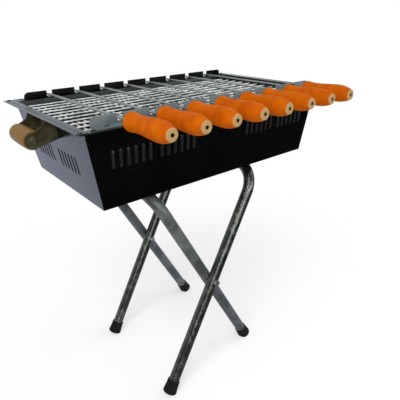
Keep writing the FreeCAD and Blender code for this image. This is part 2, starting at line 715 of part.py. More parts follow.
def charcoal_grate():
    """Slotted plate that lies on the ledges of the end panels."""
    body = new_body("charcoal_grate")
    reach = (inner_length(grate_level) - grate_play, inner_width(grate_level) - grate_play)
    sketch = sketch_on(body, "XY_Plane", grate_level)
    rectangle(sketch, (-reach[0], -reach[1]), reach)
    pad(body, sketch, grate_gauge)
    first = (-grate_step * ((grate_columns - 1) / 2), -grate_row * ((grate_rows - 1) / 2))
    sketch = sketch_on(body, "XY_Plane", grate_level)
    slot(sketch, first, grate_slot, grate_gap, lying=True)
    cut = pocket(body, sketch)
    grid_of(body, [cut], [row_of(body, "X_Axis", grate_columns, grate_step),
                          row_of(body, "Y_Axis", grate_rows, grate_row)])


def box_fasteners():
    """Rivets of the rails, of the flanges' corners and of the clips under the floor."""
    rails = mirrored_spots(RAIL_RIVETS, -1) + RAIL_RIVETS
    corners = [(CORNER_SPOT[0] * end, CORNER_SPOT[1] * half) for end in (-1, 1) for half in (-1, 1)]
    flange = new_body("flange_rivets")
    rivets(flange, "XY_Plane", rails, panel_gauge + rail_gauge, mouth_level + rail_gauge)
    rivets(flange, "XY_Plane", corners, panel_gauge * 2, mouth_level + panel_gauge)
    rivets(new_body("clip_rivets"), "XY_Plane", floor_rivets(), clip_gauge + panel_gauge,
           deck_level - clip_gauge, side=-1)


# Carry handles

BRACKET_ROW = box_depth / cosine(end_tilt) - (wing_foot + wing_head) / 2
BRACKET_RIVETS = [(bracket_rivet_gap / 2 * end, BRACKET_ROW + bracket_rivet_row / 2 * step)
                  for end in (-1, 1) for step in (-1, 1)]


def handle_bracket(label, side):
    """Base plate on the end panel and two wings that reach out to the grip."""
    body = new_body(label)
    low, high = mouth_level - wing_foot, mouth_level - wing_head
    base = sketch_on(body, "XZ_Plane")
    points = [(end_reach(low), low), (end_reach(high), high),
              (end_reach(high) + wing_gauge, high), (end_reach(low) + wing_gauge, low)]
    outline(base, [(x * side, z) for x, z in points])
    pad(body, base, (grip_half + wing_gauge) * 2, both=True)
    middle = (mouth_length / 2 + grip_out, mouth_level - grip_drop)
    lift = wing_radius * sine(wing_wrap)
    inward = wing_radius * cosine(wing_wrap)
    shoulder = mouth_length / 2 + end_flange
    points = [(end_reach(low), low),
              (middle[0] - inward, middle[1] - lift),
              (middle[0] + wing_radius, middle[1]),
              (middle[0] - inward, middle[1] + lift),
              (shoulder + wing_gauge, middle[1] + lift + wing_shoulder),
              (shoulder - wing_gauge, high),
              (end_reach(high), high)]
    rounds = {1: (wing_radius, side), 2: (wing_radius, side)}
    for away in (-grip_half - wing_gauge, grip_half):
        wing = sketch_on(body, "XZ_Plane", away)
        outline(wing, [(x * side, z) for x, z in points], rounds)
        pad(body, wing, wing_gauge)
    bolt_hole = (middle[0] * side, middle[1])
    holes(body, "XZ_Plane", [bolt_hole], grip_bolt_radius)
    holes(body, "YZ_Plane", BRACKET_RIVETS, rivet_radius, CLEAR_CUT, **end_wall(side))


def carry_handle(name, side):
    """Bracket, turned grip and the bolt through it."""
    handle_bracket(f"{name}_handle_bracket", side)
    spot = ((mouth_length / 2 + grip_out) * side, 0.0, mouth_level - grip_drop)
    grip = new_body(f"{name}_handle_grip", spot)
    profile = sketch_on(grip, "XY_Plane")
    barrel = (grip_half * grip_half + grip_crown * grip_crown) / (grip_crown * 2)
    outline(profile, [(grip_bolt_radius, -grip_half), (grip_radius, -grip_half),
                      (grip_radius, grip_half), (grip_bolt_radius, grip_half)],
            {1: (barrel, 1)})
    revolve(grip, profile, "V_Axis")
    reach = grip_half + wing_gauge
    bolt = new_body(f"{name}_handle_bolt", spot)
    tail = grip_nut_height + bolt_tail
    shank = sketch_on(bolt, "XZ_Plane", -reach - tail)
    circle(shank, (0.0, 0.0), grip_bolt_radius)
    pad(bolt, shank, reach * 2 + tail)
    head = sketch_on(bolt, "XZ_Plane", reach)
    circle(head, (0.0, 0.0), grip_bolt_head)
    pad(bolt, head, grip_bolt_radius, taper=HEAD_TAPER)
    nut = new_body(f"{name}_handle_nut", spot)
    ring = sketch_on(nut, "XZ_Plane", -reach - grip_nut_height)
    hexagon(ring, (0.0, 0.0), grip_nut_flat)
    circle(ring, (0.0, 0.0), grip_bolt_radius)
    pad(nut, ring, grip_nut_height)


def handle_rivets():
    """Rivets that hold both brackets to the end panels."""
    body = new_body("handle_rivets")
    square = cosine(end_tilt)
    for side in (-1, 1):
        rivets(body, "YZ_Plane", BRACKET_RIVETS, (panel_gauge + wing_gauge) * square,
               wing_gauge * square * side, side=side, **end_wall(side))


# Stand

def leg_frame(name, side):
    """One bent tube in the frame's own upright plane, kept as its two legs and its crossbar.

    The crossbar takes both bends, so the three runs meet where the bends end."""
    place = (stand_offset + pivot_span * side, frame_shift * -side, bar_level)
    half = frame_width / 2
    bar = new_body(f"{name}_frame_crossbar", place, leg_angle * side)
    path = sketch_on(bar, "YZ_Plane")
    outline(path,
            [(-half, -bend_radius), (-half + bend_radius, 0.0), (half - bend_radius, 0.0),
             (half, -bend_radius)],
            {0: (bend_radius, -1), 2: (bend_radius, -1)}, closed=False)
    ring = sketch_on(bar, "XY_Plane", -bend_radius)
    tube_ring(ring, -half)
    tube = bar.newObject("PartDesign::AdditivePipe", f"{bar.Name}_tube")
    tube.Profile = ring
    tube.Spine = (path, [f"Edge{number}" for number in range(1, 4)])
    for leg, across in (("front", -half), ("back", half)):
        body = new_body(f"{name}_frame_{leg}_leg", place, leg_angle * side)
        ring = sketch_on(body, "XY_Plane", foot_cushion - leg_length)
        tube_ring(ring, across)
        pad(body, ring, leg_length - foot_cushion - bend_radius)
        holes(body, "XZ_Plane", [(0.0, -pivot_reach)], pivot_hole)


def tube_ring(sketch, across):
    """The tube's section."""
    circle(sketch, (0.0, across), tube_radius)
    circle(sketch, (0.0, across), tube_radius - tube_wall)


def foot(label, side, across):
    """Rubber foot round a leg's end: its sole is square to the leg and worn flat on the floor."""
    place = (stand_offset + (pivot_span - leg_span) * side, across, 0.0)
    lean = leg_angle * side
    block = foot_sole * 4

    def along_leg(distance):
        return (place[0] + distance * sine(lean), place[1], distance * cosine(lean))

    sleeve = doc.addObject("Part::Cone", f"{label}_sleeve")
    bind(sleeve, "Radius1", foot_sole)
    bind(sleeve, "Radius2", foot_top)
    bind(sleeve, "Height", foot_height - foot_lift)
    bind_place(sleeve, along_leg(foot_lift), angle=lean)
    bore = doc.addObject("Part::Cylinder", f"{label}_bore")
    bind(bore, "Radius", tube_radius)
    bind(bore, "Height", foot_height)
    bind_place(bore, along_leg(foot_cushion), angle=lean)
    ground = doc.addObject("Part::Box", f"{label}_ground")
    for name in ("Length", "Width", "Height"):
        bind(ground, name, block)
    bind_place(ground, (place[0] - block / 2, place[1] - block / 2, -block))
    hollow = doc.addObject("Part::Cut", f"{label}_hollow")
    hollow.Base, hollow.Tool = sleeve, bore
    cap = doc.addObject("Part::Cut", label)
    cap.Base, cap.Tool = hollow, ground
    cap.Label = label
    bind_place(cap, (0.0, depth_shift, 0.0))
    sub_parts.append(cap)


def pivot(name, side):
    """Bolt and nut where the legs cross; side is -1 at the front and 1 at the back.

    The head is tight on the right frame and the nut leaves the left frame room to turn."""
    spot = (stand_offset, frame_width / 2 * side, pivot_level)
    tight = frame_shift + tube_radius
    reach = tight + turning_play
    tail = reach + nut_height + bolt_tail
    bolt = new_body(f"{name}_pivot_bolt", spot)
    shank = sketch_on(bolt, "XZ_Plane", -tail)
    circle(shank, (0.0, 0.0), pivot_radius)
    pad(bolt, shank, tail + tight)
    head = sketch_on(bolt, "XZ_Plane", tight)
    hexagon(head, (0.0, 0.0), bolt_flat)
    pad(bolt, head, bolt_head)
    nut = new_body(f"{name}_pivot_nut", spot)
    ring = sketch_on(nut, "XZ_Plane", -reach - nut_height)
    hexagon(ring, (0.0, 0.0), bolt_flat)
    circle(ring, (0.0, 0.0), pivot_radius)
    pad(nut, ring, nut_height)


def pivot_washers():
    """Washers between the crossed tubes, held on the bolts against the right frame's legs."""
    body = new_body("pivot_washers", (stand_offset, 0.0, pivot_level))
    for half in (-1, 1):
        near = frame_width / 2 * half - frame_shift + tube_radius
        ring = sketch_on(body, "XZ_Plane", -near - washer_gauge)
        circle(ring, (0.0, 0.0), washer_radius)
        circle(ring, (0.0, 0.0), pivot_radius)
        pad(body, ring, washer_gauge)


def clip_block(body, start, low, high):
    """A block of a clip's width from a lower to an upper corner in the XZ plane."""
    sketch = sketch_on(body, "XZ_Plane", start)
    rectangle(sketch, low, high)
    pad(body, sketch, clip_width)


def hinge_clip(label, across):
    """Strap bent round the right crossbar, with an ear on each side under the floor."""
    body = new_body(label, (hinge_at, across, bar_level))
    start = -clip_width / 2
    outer, roof = clip_bore + clip_gauge, deck_level - bar_level
    disc = sketch_on(body, "XZ_Plane", start)
    circle(disc, (0.0, 0.0), outer)
    pad(body, disc, clip_width)
    clip_block(body, start, (-outer, 0.0), (outer, roof))
    clip_block(body, start, (-outer - clip_ear, roof - clip_gauge), (outer + clip_ear, roof))
    holes(body, "XZ_Plane", [(0.0, 0.0)], clip_bore)
    inside = sketch_on(body, "XZ_Plane")
    rectangle(inside, (-clip_bore, 0.0), (clip_bore, roof + clip_gauge))
    pocket(body, inside)
    holes(body, "XY_Plane", [(clip_rivet * end, 0.0) for end in (-1, 1)], rivet_radius)


def stop_hook(label, across):
    """Hook under the floor that holds the left crossbar from outside and is open inwards."""
    body = new_body(label, (hook_at, across, bar_level))
    start = -clip_width / 2
    outer, roof = clip_bore + clip_gauge, deck_level - bar_level
    disc = sketch_on(body, "XZ_Plane", start)
    circle(disc, (0.0, 0.0), outer)
    pad(body, disc, clip_width)
    clip_block(body, start, (-outer, 0.0), (0.0, roof))
    clip_block(body, start, (-outer - clip_ear, roof - clip_gauge), (0.0, roof))
    clip_block(body, start, (0.0, -outer), (hook_lip, -clip_bore))
    holes(body, "XZ_Plane", [(0.0, 0.0)], clip_bore)
    inside = sketch_on(body, "XZ_Plane")
    rectangle(inside, (-clip_bore, 0.0), (outer * 2, roof + clip_gauge))
    pocket(body, inside)
    mouth = sketch_on(body, "XZ_Plane")
    outline(mouth, [(0.0, 0.0), (0.0, -clip_bore), (hook_lip, -clip_bore),
                    (hook_lip, -outer * 2), (outer * 2, -outer * 2), (outer * 2, 0.0)])
    pocket(body, mouth)
    holes(body, "XY_Plane", [(-clip_rivet, clip_width / 4 * end) for end in (-1, 1)], rivet_radius)


# Skewers

def skewer(number, middle):
    """Flat pointed blade whose tang sits in a turned wooden handle."""
    spot = (middle, 0.0, skewer_level)
    blade = new_body(f"skewer_blade_{number}", spot)
    tip = rail_bend + blade_overhang
    half, tang = blade_width / 2, tang_width / 2
    shoulder = -handle_back
    tang_end = hole_depth - handle_end
    sketch = sketch_on(blade, "XY_Plane")
    outline(sketch, [(-half, shoulder), (-tang, shoulder), (-tang, tang_end), (tang, tang_end),
                     (tang, shoulder), (half, shoulder), (half, tip - blade_point), (0.0, tip),
                     (-half, tip - blade_point)])
    pad(blade, sketch, blade_gauge, both=True)
    handle = new_body(f"skewer_handle_{number}", spot)
    bore = root(tang_width * tang_width / 4 + blade_gauge * blade_gauge / 4)
    sketch = sketch_on(handle, "XY_Plane")
    outline(sketch, [(bore, -handle_end), (handle_nose, -handle_end),
                     (handle_radius, -handle_end + nose_length),
                     (handle_waist, -handle_back - tail_length),
                     (handle_tail, -handle_back), (bore, -handle_back)],
            {1: (nose_curve, 1), 3: (tail_curve, 1)})
    revolve(handle, sketch, "V_Axis")


def build():
    """Make every sub-part."""
    long_panel("front_panel", -1)
    long_panel("back_panel", 1)
    end_panel("left_panel", -1)
    end_panel("right_panel", 1)
    floor_plate()
    skewer_rail("front_skewer_rail", -1)
    skewer_rail("back_skewer_rail", 1)
    ledges()
    grille()
    charcoal_grate()
    box_fasteners()
    carry_handle("left", -1)
    carry_handle("right", 1)
    handle_rivets()
    for name, half in (("front", -1), ("back", 1)):
        hinge_clip(f"{name}_hinge_clip", clip_reach * half - frame_shift)
        stop_hook(f"{name}_stop_hook", clip_reach * half + frame_shift)
        pivot(name, half)
        foot(f"right_frame_{name}_foot", 1, frame_width / 2 * half - frame_shift)
        foot(f"left_frame_{name}_foot", -1, frame_width / 2 * half + frame_shift)
    pivot_washers()
    leg_frame("right", 1)
    leg_frame("left", -1)
    for number, middle in enumerate(SKEWER_ROW, 1):
        skewer(number, middle)


def check():
    """Stop if any object failed or any sub-part is empty or broken."""
    for item in doc.Objects:
        if "Invalid" in item.State or "Error" in item.State:
            raise RuntimeError(f"{item.Label} failed: {item.State}")
    for part in sub_parts:
        if part.Shape.isNull() or not part.Shape.isValid() or part.Shape.Volume <= 0:
            raise RuntimeError(f"{part.Label} has no valid shape")


build()
doc.recompute()
check()
for part in sub_parts:
    part.Shape.exportStep(f"parts/{part.Label}.step")
print(len(sub_parts), "sub-parts written")
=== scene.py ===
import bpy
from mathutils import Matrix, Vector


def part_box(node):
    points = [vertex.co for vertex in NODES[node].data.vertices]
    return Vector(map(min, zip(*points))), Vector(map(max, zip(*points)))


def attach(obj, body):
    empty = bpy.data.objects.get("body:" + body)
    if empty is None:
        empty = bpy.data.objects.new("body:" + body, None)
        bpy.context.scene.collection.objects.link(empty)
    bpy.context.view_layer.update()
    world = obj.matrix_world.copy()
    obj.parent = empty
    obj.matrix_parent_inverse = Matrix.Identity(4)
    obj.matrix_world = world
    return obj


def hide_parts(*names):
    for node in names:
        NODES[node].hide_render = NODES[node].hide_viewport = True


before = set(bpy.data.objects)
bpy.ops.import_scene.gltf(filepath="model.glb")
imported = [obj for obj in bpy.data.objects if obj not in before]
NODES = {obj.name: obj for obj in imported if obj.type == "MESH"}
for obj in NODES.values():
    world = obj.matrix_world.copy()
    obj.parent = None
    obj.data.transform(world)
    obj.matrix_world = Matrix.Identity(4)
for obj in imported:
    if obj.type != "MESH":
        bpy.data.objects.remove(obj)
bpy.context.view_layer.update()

import math

import bpy
import numpy as np
from mathutils import Matrix, Vector

# Dressing of a charcoal grill with eight hand-turned skewers on a stand of two crossed tube
# frames. Lengths are in metres and angles in degrees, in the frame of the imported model.

MM = 0.001
SKEWERS = range(1, 9)

# Stand
LEG_LENGTH = 590 * MM
LEG_LEAN = 28.3
PIVOT_REACH = 286.5 * MM
TUBE_RADIUS = 13 * MM
BEND_RADIUS = 60 * MM
FRAME_WIDTH = 278 * MM
FOOT_CUSHION = 12 * MM
FOOT_HEIGHT = 36 * MM
FOOT_TOP = 15.1 * MM
FOOT_SOLE = 17.5 * MM
FOOT_LIFT = 4 * MM
FOOT_ROUND = 1.2 * MM        # how far both rims of a sleeve are drawn in
FOOT_FLARE = 1.8             # power of the sleeve's flare towards the sole
BEND_STEPS = 60
PATH_STEPS = 180

# Firebox
FLOOR_WIDTH = 307 * MM
MOUTH_WIDTH = 334.6 * MM
BOX_DEPTH = 151 * MM
SHEET = 1.2 * MM
HEM_RADIUS = 1.3 * MM
LOUVRE_LENGTH = 34 * MM
LOUVRE_WIDTH = 6.8 * MM
LOUVRE_RISE = 3.4 * MM
LOUVRE_PITCH = 15 * MM
LOUVRE_DROP = 42.5 * MM
LOUVRE_CENTRE = 16.5 * MM
LOUVRE_FIRST = 72.5 * MM
LOUVRE_GROUP = 100 * MM
LOUVRES = 6
HOOD_TURN = 9                # points round each end of a hood
HOOD_RINGS = 7
HOOD_CROWN = 0.96            # share of the way to the ridge that the last ring reaches
EDGE_BREAK = 0.35 * MM       # width of the broken edges of sheet metal
JOIN_REACH = 0.02 * MM       # loose triangles' corners closer than this are one

# Grille and carry grips
ROD_COUNT = 12
WIRE_COUNT = 45
ROD_ROUND = 0.35             # rounding of a rod's ends, as a share of its radius
GRIP_CROWN = 1.0 * MM        # how much thicker a grip is in its middle
GRIP_ROUND = 1.6 * MM        # how far its rims are drawn in
GRIP_RIM = 2.4 * MM          # length of each rounded rim

# Photograph and studio
CAMERA_SPOT = (-545.70 * MM, -702.60 * MM, 845.79 * MM)
CAMERA_YAW, CAMERA_PITCH, CAMERA_ROLL = 0.68136, 0.42734, -0.018409    # radians
FOCAL_PIXELS = 405.5
PHOTO_PIXELS = 400
SENSOR = 36
FLOOR_HALF = 6.0
LAMP_TARGET = (0, 0, 0.5)
LAMPS = {"key": ((-1.6, -1.2, 2.6), 1.6, 60), "fill": ((2.4, -0.6, 2.0), 2.0, 25)}    # spot, size, power


# Mesh making

def middle(node):
    """Middle of a CAD node's box."""
    low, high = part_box(node)
    return (low + high) / 2


def grid_faces(rows, columns, wrap):
    """Quads of a grid of points with their UV corners; the columns close on themselves if wrapped."""
    spans = columns if wrap else columns - 1
    row, column = np.meshgrid(np.arange(rows - 1), np.arange(spans), indexing="ij")
    row, column = row.ravel(), column.ravel()
    after = (column + 1) % columns
    quads = np.stack([row * columns + column, row * columns + after,
                      (row + 1) * columns + after, (row + 1) * columns + column], axis=1)
    across = np.stack([column, column + 1, column + 1, column], axis=1) / spans
    along = np.stack([row, row, row + 1, row + 1], axis=1) / (rows - 1)
    return quads, np.stack([across, along], axis=2)


def new_piece(name, grids, body, material, replaces=(), wrap=True, capped=True, smooth=35):
    """Make one mesh from several grids of points (rows, columns, 3), with flat caps on wrapped ends."""
    points, faces, corners = [], [], []
    start = 0
    for grid in grids:
        rows, columns = grid.shape[:2]
        quads, uv = grid_faces(rows, columns, wrap)
        faces += (quads + start).tolist()
        corners.append(uv.reshape(-1, 2))
        if wrap and capped:
            ring = np.arange(columns)
            faces.append((ring[::-1] + start).tolist())
            faces.append((ring + start + (rows - 1) * columns).tolist())
            corners.append(np.stack([ring[::-1] / columns, np.zeros(columns)], axis=1))
            corners.append(np.stack([ring / columns, np.ones(columns)], axis=1))
        points.append(grid.reshape(-1, 3))
        start += rows * columns
    mesh = bpy.data.meshes.new(name)
    mesh.from_pydata(np.concatenate(points).tolist(), [], faces)
    layer = mesh.uv_layers.new(name="surface")
    layer.data.foreach_set("uv", np.concatenate(corners).ravel())
    mesh.update()
    mesh.polygons.foreach_set("use_smooth", np.ones(len(mesh.polygons), bool))
    mesh.set_sharp_from_angle(angle=math.radians(smooth))
    piece = bpy.data.objects.new(name, mesh)
    bpy.context.scene.collection.objects.link(piece)
    mesh.materials.append(material)
    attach(piece, body)
    if replaces:
        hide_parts(*replaces)
    return piece


def smooth_line(points, steps=6):
    """Points of a curve through the given ones: on each span, a cubic with the neighbours' slopes."""
    points = np.asarray(points, float)
    ends = np.vstack([2 * points[0] - points[1], points, 2 * points[-1] - points[-2]])
    t = np.linspace(0, 1, steps, endpoint=False)[:, None]
    spans = []
    for p0, p1, p2, p3 in zip(ends, ends[1:], ends[2:], ends[3:]):
        spans.append(p1 + t * (p2 - p0) / 2 + t ** 2 * (p0 - 2.5 * p1 + 2 * p2 - 0.5 * p3)
                     + t ** 3 * (-0.5 * p0 + 1.5 * p1 - 1.5 * p2 + 0.5 * p3))
    return np.vstack(spans + [points[-1:]])


def turned(profile, centre, direction, side, columns=64):
    """A profile of (distance, radius) turned about a line: centre + distance along it + radius across."""
    profile = np.asarray(profile, float)
    direction, side = np.asarray(direction, float), np.asarray(side, float)
    other = np.cross(direction, side)
    angle = np.linspace(0, 2 * np.pi, columns, endpoint=False)
    ring = np.cos(angle)[:, None] * side + np.sin(angle)[:, None] * other
    return (np.asarray(centre, float) + profile[:, 0, None, None] * direction
            + profile[:, 1, None, None] * ring[None])


def rod(start, end, radius, columns=12):
    """A straight round rod between two points with slightly rounded ends."""
    start, end = np.asarray(start, float), np.asarray(end, float)
    length = np.linalg.norm(end - start)
    direction = (end - start) / length
    side = np.cross(direction, (0, 0, 1))
    round_off = radius * ROD_ROUND
    profile = [(0, radius - round_off), (round_off, radius), (length - round_off, radius),
               (length, radius - round_off)]
    return turned(profile, start, direction, side / np.linalg.norm(side), columns)


# Shader making

class Value:
    """A number, colour or vector in a shader. Operators on a number add its Math nodes."""

    def __init__(self, shader, socket):
        self.shader = shader
        self.socket = socket

    def math(self, operation, *others):
        inputs = dict(enumerate((self, *others)))
        return self.shader.add("ShaderNodeMath", {"operation": operation}, inputs)

    def __add__(self, other):
        return self.math("ADD", other)

    def __radd__(self, other):
        return self.math("ADD", other)

    def __sub__(self, other):
        return self.math("SUBTRACT", other)

    def __rsub__(self, other):
        return (self * -1) + other

    def __mul__(self, other):
        return self.math("MULTIPLY", other)


class Shader:
    """A material, or the world, whose nodes are added by one method."""

    def __init__(self, owner):
        owner.use_nodes = True
        self.tree = owner.node_tree
        self.tree.nodes.clear()

    def add(self, kind, settings=None, inputs=None, output=0):
        """Add a node: its settings first, then the values or links of its sockets."""
        node = self.tree.nodes.new(kind)
        for name, value in (settings or {}).items():
            if name == "stops":
                self.set_stops(node.color_ramp, value)
            else:
                setattr(node, name, value)
        for name, value in (inputs or {}).items():
            if isinstance(value, Value):
                self.tree.links.new(value.socket, node.inputs[name])
            else:
                node.inputs[name].default_value = value
        return Value(self, node.outputs[output]) if len(node.outputs) else None

    @staticmethod
    def set_stops(ramp, stops):
        while len(ramp.elements) < len(stops):
            ramp.elements.new(1.0)
        for element, (position, colour) in zip(ramp.elements, stops):
            element.position = position
            element.color = colour

    def place(self, scale=(1, 1, 1), uv=False):
        """Object coordinates, or the piece's own UV, stretched by a scale."""
        source = self.add("ShaderNodeTexCoord", output="UV" if uv else "Object")
        return self.add("ShaderNodeMapping", {}, {"Vector": source, "Scale": scale})

    def part(self, vector, axis):
        """One coordinate of a vector."""
        return self.add("ShaderNodeSeparateXYZ", {}, {"Vector": vector}, output=axis)

    def noise(self, vector, scale, detail=3.0, roughness=0.5, distortion=0.0):
        return self.add("ShaderNodeTexNoise", {}, {"Vector": vector, "Scale": scale, "Detail": detail,
                                                   "Roughness": roughness, "Distortion": distortion})

    def between(self, value, low, high, start=0.0, end=1.0):
        """Map low..high to start..end smoothly, and hold it outside."""
        return self.add("ShaderNodeMapRange", {"interpolation_type": "SMOOTHSTEP"},
                        {"Value": value, "From Min": low, "From Max": high, "To Min": start, "To Max": end})

    def mix(self, factor, first, second):
        """Mix two colours."""
        return self.add("ShaderNodeMix", {"data_type": "RGBA"},
                        {0: factor, 6: colour(first), 7: colour(second)}, output=2)

    def bump(self, height, strength, distance):
        return self.add("ShaderNodeBump", {}, {"Height": height, "Strength": strength, "Distance": distance})

    def principled(self, **inputs):
        """The surface itself, by the names of its sockets with underscores for spaces."""
        named = {name.replace("_", " "): value for name, value in inputs.items()}
        named["Base Color"] = colour(named["Base Color"])
        surface = self.add("ShaderNodeBsdfPrincipled", {}, named)
        self.add("ShaderNodeOutputMaterial", {}, {"Surface": surface})


def colour(value):
    """A plain colour gets its fourth number, and a Value stays."""
    return value if isinstance(value, Value) else (*value[:3], 1.0)


def new_material(name):
    material = bpy.data.materials.new(name)
    return material, Shader(material)


# Finishes

def black_enamel():
    """Heat-resistant black enamel: faint cloudiness, fine orange peel and thin dust."""
    material, s = new_material("black_enamel")
    cloud = s.noise(s.place(), 9.0, 4.0)
    peel = s.noise(s.place(), 420.0, 2.0)
    dust = s.between(s.noise(s.place(), 55.0, 6.0, 0.7), 0.55, 0.8)
    base = s.mix(cloud, (0.0006, 0.0006, 0.0004), (0.0016, 0.0016, 0.0011))
    base = s.mix(dust * 0.1, base, (0.004, 0.0038, 0.0033))
    s.principled(Base_Color=base, Roughness=0.20 + cloud * 0.10 + dust * 0.04, IOR=1.5,
                 Normal=s.bump(peel, 0.05, 0.0004))
    return material


def painted_sheen_rail():
    """The front rail in a smooth blue-grey: the sheen its black enamel catches is painted into its colour."""
    material, s = new_material("painted_sheen_rail")
    sheen_mottle = s.noise(s.place((1, 1, 3)), 30.0, 5.0, 0.6)
    # Painted reflection: both blue-greys stand in for light reflected by black enamel, and the noise mottles
    # between them.
    base = s.mix(s.between(sheen_mottle, 0.3, 0.75), (0.075, 0.094, 0.099), (0.125, 0.150, 0.157))
    s.principled(Base_Color=base, Roughness=0.34 + sheen_mottle * 0.16, IOR=1.45,
                 Normal=s.bump(sheen_mottle, 0.05, 0.0004))
    return material


def ridge_highlight_enamel():
    """The enamel of the raised louvres, with a grey painted highlight along their ridges and round their
    tops.
    """
    material, s = new_material("ridge_highlight_enamel")
    sheen_mottle = s.noise(s.place(), 90.0, 5.0, 0.7)
    # crown runs from 0 at a hood's rim to 1 near its ridge. It masks the painted highlight, which lightens
    # towards the ridge and is mottled by noise.
    crown = s.between(s.part(s.place(uv=True), 1), 0.05, 0.55)
    base = s.mix(crown * s.between(sheen_mottle, 0.2, 0.75, 0.5, 1.0), (0.002, 0.002, 0.0017), (0.013, 0.0127, 0.011))
    s.principled(Base_Color=base, Roughness=0.26 + sheen_mottle * 0.2, IOR=1.5,
                 Normal=s.bump(sheen_mottle, 0.12, 0.0004))
    return material


def sooty_iron():
    """Iron inside the firebox, dull and black with soot and ash in its hollows."""
    material, s = new_material("sooty_iron")
    soot = s.noise(s.place(), 35.0, 6.0, 0.7)
    base = s.mix(s.between(soot, 0.45, 0.8), (0.0020, 0.0020, 0.0020), (0.010, 0.0095, 0.009))
    s.principled(Base_Color=base, Roughness=0.75 + soot * 0.2, IOR=1.25,
                 Normal=s.bump(s.noise(s.place(), 300.0, 4.0), 0.3, 0.0008))
    return material


def oiled_steel():
    """Dark olive strap steel with rubbed patches."""
    material, s = new_material("oiled_steel")
    patch = s.noise(s.place(), 38.0, 5.0, 0.65)
    base = s.mix(s.between(patch, 0.35, 0.7), (0.030, 0.026, 0.010), (0.095, 0.083, 0.034))
    s.principled(Base_Color=base, Roughness=0.30 + patch * 0.2, Metallic=0.35,
                 Normal=s.bump(patch, 0.15, 0.0006))
    return material


def zinc_wire(name, soot_cover, shine):
    """Zinc-plated wire: pale and slightly blotchy, with soot over some of it; shine is how metallic it is."""
    material, s = new_material(name)
    blotch = s.noise(s.place(), 60.0, 4.0, 0.6)
    dull, pale = (0.52, 0.53, 0.50), (0.86, 0.87, 0.83)
    base = s.mix(s.between(blotch, 0.3, 0.7), dull, pale)
    soot = s.noise(s.place(), 16.0, 3.0)
    base = s.mix(s.between(soot, 0.42, 0.52, soot_cover, 0.0), base, (0.010, 0.010, 0.009))
    s.principled(Base_Color=base, Roughness=0.30 + blotch * 0.25, Metallic=shine,
                 Normal=s.bump(s.noise(s.place(), 500.0), 0.15, 0.0003))
    return material


def skewer_steel():
    """Drawn steel strip with fine lines along its length."""
    material, s = new_material("skewer_steel")
    lines = s.noise(s.place((1, 0.012, 1)), 2600.0, 3.0, 0.6)
    stain = s.noise(s.place(), 14.0, 4.0)
    base = s.mix(lines, (0.17, 0.175, 0.16), (0.33, 0.34, 0.31))
    base = s.mix(s.between(stain, 0.5, 0.75, 0.0, 0.4), base, (0.16, 0.155, 0.13))
    s.principled(Base_Color=base, Roughness=0.30 + lines * 0.2, Metallic=0.9,
                 Normal=s.bump(lines, 0.12, 0.0002))
    return material


def orange_handle():
    """Orange lacquer on turned wood, thin at the nose where bare wood and its grain show."""
    material, s = new_material("orange_handle")
    along = s.part(s.place(uv=True), 1)
    grain = s.noise(s.place((1, 0.07, 1)), 520.0, 4.0, 0.6, 0.4)
    brush = s.noise(s.place((0.5, 1, 0.5)), 85.0, 5.0, 0.65)
    wood = s.mix(grain, (0.30, 0.18, 0.07), (0.55, 0.36, 0.17))
    paint = s.mix(brush, (0.32, 0.046, 0.0), (0.51, 0.100, 0.0))
    thin = s.noise(s.place(), 40.0, 3.0)
    paint = s.mix(s.between(thin, 0.35, 0.75, 0.0, 0.5), paint, (0.58, 0.135, 0.0))
    worn = s.between(brush, 0.62, 0.80, 0.0, 0.3)
    under = s.between(s.part(s.place(), 2) - SKEWER_LEVEL, -0.6 * HANDLE_RADIUS, -HANDLE_RADIUS)
    bare = s.between(along + brush * 0.03 + under * 0.10, NOSE_START, NOSE_START + 0.03)
    base = s.mix(bare, s.mix(worn, paint, (0.62, 0.18, 0.004)), wood)
    # Painted shade: the walls inside the nose's hole are darkened to near black.
    hole_shade = s.between(along, NOSE_HOLE - 0.002, NOSE_HOLE + 0.004)
    base = s.mix(hole_shade, base, (0.02, 0.012, 0.006))
    s.principled(Base_Color=base, Roughness=0.52 + bare * 0.2 + brush * 0.1, IOR=1.12,
                 Normal=s.bump(grain * 0.5 + brush, 0.22, 0.0006))
    return material


def amber_wood():
    """Amber lacquered wood with its grain along the grip."""
    material, s = new_material("amber_wood")
    grain = s.noise(s.place((1, 0.06, 1)), 330.0, 5.0, 0.65, 0.8)
    broad = s.noise(s.place((1, 0.2, 1)), 60.0, 3.0)
    base = s.mix(grain, (0.085, 0.036, 0.001), (0.26, 0.125, 0.002))
    base = s.mix(s.between(broad, 0.45, 0.7, 0.0, 0.5), base, (0.17, 0.11, 0.05))
    s.principled(Base_Color=base, Roughness=0.42, IOR=1.2, Coat_Weight=0.04, Coat_Roughness=0.2,
                 Normal=s.bump(grain, 0.12, 0.0004))
    return material


